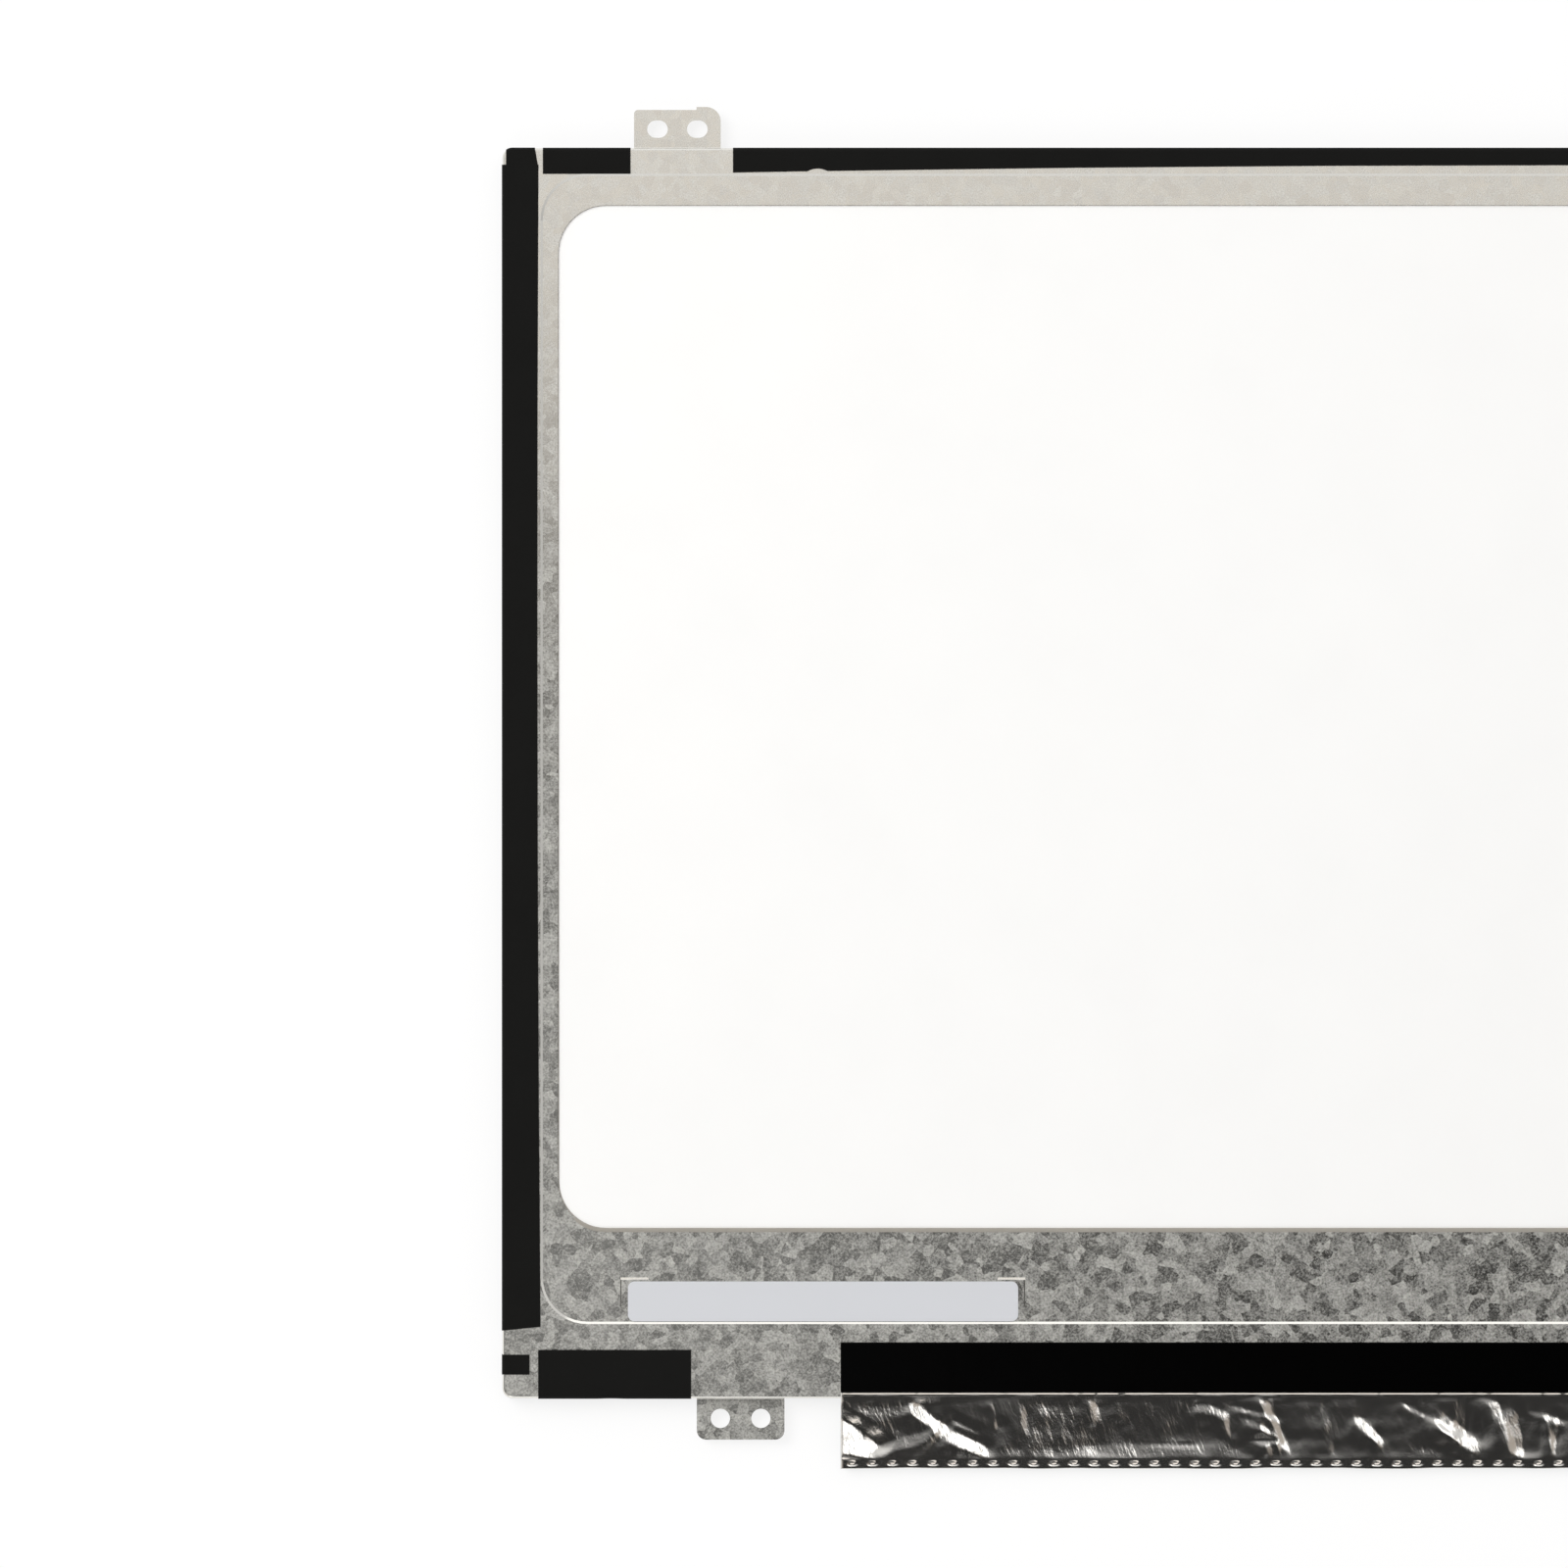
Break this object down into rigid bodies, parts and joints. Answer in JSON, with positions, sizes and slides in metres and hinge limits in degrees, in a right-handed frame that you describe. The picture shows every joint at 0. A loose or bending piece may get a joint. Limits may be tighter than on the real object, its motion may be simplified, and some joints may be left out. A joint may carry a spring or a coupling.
{
  "type": "laptop screen panel",
  "caption": "Slim edge-lit laptop display module with a windowed steel back, taped edges, bent-out fixing tabs and a foil-covered control board along its lower edge.",
  "frame": {"origin": "middle of the active area, on the display face that the panel lies on", "axes": "+X to the right and +Y to the top edge as seen from the rear, +Z towards the rear"},
  "size_m": [0.3206, 0.2053, 0.0035],
  "materials": {
    "galvanised_steel": "pressed, galvanised, fine spangle",
    "frame_plastic": "moulded polycarbonate",
    "reflector_white": "white reflector film",
    "light_guide": "clear acrylic",
    "optical_film": "frosted film",
    "led_strip_flex": "white coverlay",
    "led_package": "phosphor resin",
    "clear_adhesive": "double-sided tape",
    "polariser": "anti-glare film",
    "display_glass": "bare glass",
    "chip": "moulded package",
    "flex": "amber polyimide",
    "board": "green solder mask",
    "ferrite": "pressed ferrite",
    "ceramic": "fired ceramic",
    "socket_plastic": "moulded liquid-crystal polymer",
    "tinned_metal": "tin plate",
    "gold_contact": "flash gold",
    "foil": "crinkled foil",
    "black_film": "smooth film",
    "black_tape": "satin tape",
    "label": "bare label stock"
  },
  "bodies": {
    "root": {"back_frame": "galvanised_steel", "mould_frame": "frame_plastic", "reflector_sheet": "reflector_white", "light_guide_plate": "light_guide", "led_strip": "led_strip_flex", "leds": "led_package", "led_strip_tape": "clear_adhesive", "rim_tape": "black_tape", "rear_polariser": "polariser", "tft_glass": "display_glass", "colour_filter_glass": "display_glass", "front_polariser": "polariser", "driver_chips": "chip", "joining_flexes": "flex", "control_board": "board", "timing_controller": "chip", "led_driver_chip": "chip", "power_inductors": "ferrite", "capacitors": "ceramic", "connector_housing": "socket_plastic", "connector_shell": "tinned_metal", "connector_contacts": "gold_contact", "foil_shield": "foil", "board_cover_film": "black_film", "left_edge_tape": "black_tape", "right_edge_tape": "black_tape", "top_left_tape": "black_tape", "top_middle_tape": "black_tape", "top_right_tape": "black_tape", "bottom_left_tape": "black_tape", "bottom_right_tape": "black_tape", "left_corner_tape": "black_tape", "right_corner_tape": "black_tape", "front_cover_tape": "black_tape", "blank_label": "label", "upper_diffuser": "optical_film", "upper_prism_film": "optical_film", "lower_prism_film": "optical_film", "lower_diffuser": "optical_film"}
  },
  "joints": []
}
